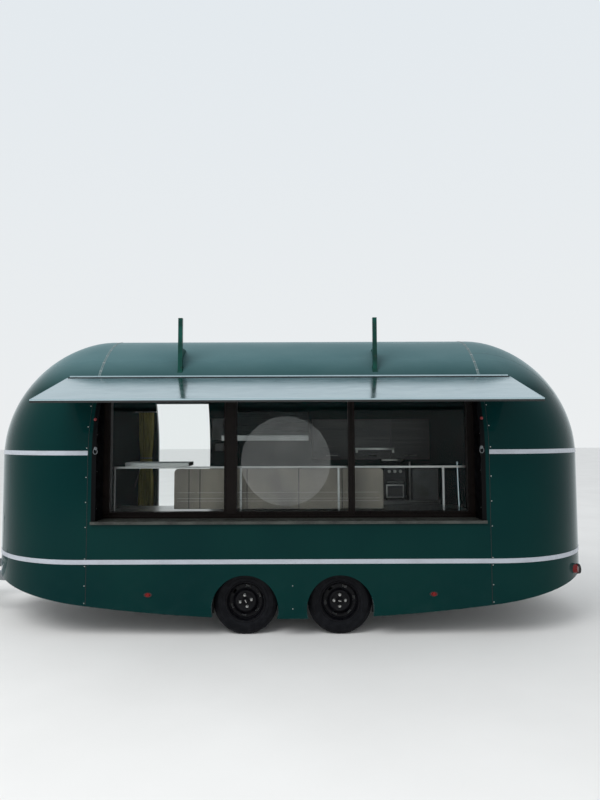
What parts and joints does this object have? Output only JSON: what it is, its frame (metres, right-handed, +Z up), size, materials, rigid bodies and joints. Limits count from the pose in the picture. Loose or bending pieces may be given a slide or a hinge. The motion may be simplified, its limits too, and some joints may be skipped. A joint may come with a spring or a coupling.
{
  "type": "towed food trailer",
  "caption": "Streamlined rounded food trailer on tandem wheels with a long serving window, bright canopy, back door, drawbar and jack.",
  "frame": {"origin": "on the floor under the middle of the whole trailer's box", "axes": "+X along the trailer away from the drawbar, -Y out of the serving window, +Z up"},
  "size_m": [7.0834, 3.126, 2.89],
  "materials": {
    "body_green": "deep teal green gloss paint",
    "stripe_lilac": "pale lavender grey gloss strip",
    "bright_steel": "mirror polished stainless sheet",
    "brown_profile": "dark brown powder coat",
    "reveal_dark": "dark lining board",
    "sill_grey": "worn light grey laminate",
    "window_pane": "clear sheet glass",
    "post_green": "emerald green brush paint",
    "galvanised": "dull hot dip galvanised steel",
    "black_steel": "black enamel, slightly dusty",
    "tyre_rubber": "matt black rubber",
    "floor_board": "grey vinyl over board",
    "galley_steel": "brushed stainless sheet",
    "cupboard_grey": "grey laminate",
    "lamp_red": "red lamp lens",
    "zinc": "bright zinc plate"
  },
  "bodies": {
    "trailer": {"side_near": "body_green", "side_far": "body_green", "roof_panel": "body_green", "cap_front": "body_green", "cap_rear": "body_green", "stripe_low": "stripe_lilac", "stripe_high_front": "stripe_lilac", "stripe_high_rear": "stripe_lilac", "floor_panel": "floor_board", "wheel_boxes": "galvanised", "chassis_rails": "galvanised", "chassis_crossmembers": "galvanised", "drawbar": "galvanised", "coupling_head": "zinc", "jack_tube": "zinc", "axle_front": "galvanised", "axle_rear": "galvanised", "arms_front": "black_steel", "arms_rear": "black_steel", "hatch_reveal": "reveal_dark", "serving_sill": "sill_grey", "window_frame": "brown_profile", "window_glass": "window_pane", "canopy_rail": "bright_steel", "canopy_sheet": "bright_steel", "roof_posts": "post_green", "door_hinges": "zinc", "bench_front": "galley_steel", "bench_rail": "galley_steel", "bench_back": "galley_steel", "wall_cabinets": "cupboard_grey", "extractor_hood": "galley_steel", "marker_lamps": "lamp_red", "tail_lamps": "lamp_red"},
    "wheel_front_near": {"tyre_front_near": "tyre_rubber", "rim_front_near": "black_steel"},
    "wheel_front_far": {"tyre_front_far": "tyre_rubber", "rim_front_far": "black_steel"},
    "wheel_rear_near": {"tyre_rear_near": "tyre_rubber", "rim_rear_near": "black_steel"},
    "wheel_rear_far": {"tyre_rear_far": "tyre_rubber", "rim_rear_far": "black_steel"},
    "back_door": {"door_leaf": "body_green", "door_handle": "zinc"},
    "jack_stand": {"jack_leg": "zinc"}
  },
  "joints": [
    {"name": "spin_front_near", "type": "hinge", "parent": "trailer", "child": "wheel_front_near", "pos_m": [0.20035, -0.84831, 0.2875], "axis": [0, -1, 0], "continuous": true},
    {"name": "spin_front_far", "type": "hinge", "parent": "trailer", "child": "wheel_front_far", "pos_m": [0.20035, 1.03669, 0.2875], "axis": [0, -1, 0], "continuous": true},
    {"name": "spin_rear_near", "type": "hinge", "parent": "trailer", "child": "wheel_rear_near", "pos_m": [1.04235, -0.84831, 0.2875], "axis": [0, -1, 0], "continuous": true},
    {"name": "spin_rear_far", "type": "hinge", "parent": "trailer", "child": "wheel_rear_far", "pos_m": [1.04235, 1.03669, 0.2875], "axis": [0, -1, 0], "continuous": true},
    {"name": "door_swing", "type": "hinge", "parent": "trailer", "child": "back_door", "pos_m": [-0.43415, 1.20419, 1.13], "axis": [0, 0, -1], "range_deg": [-165, 5]},
    {"name": "jack_slide", "type": "slide", "parent": "trailer", "child": "jack_stand", "axis": [0, 0, 1], "range_m": [0, 0.3]}
  ]
}
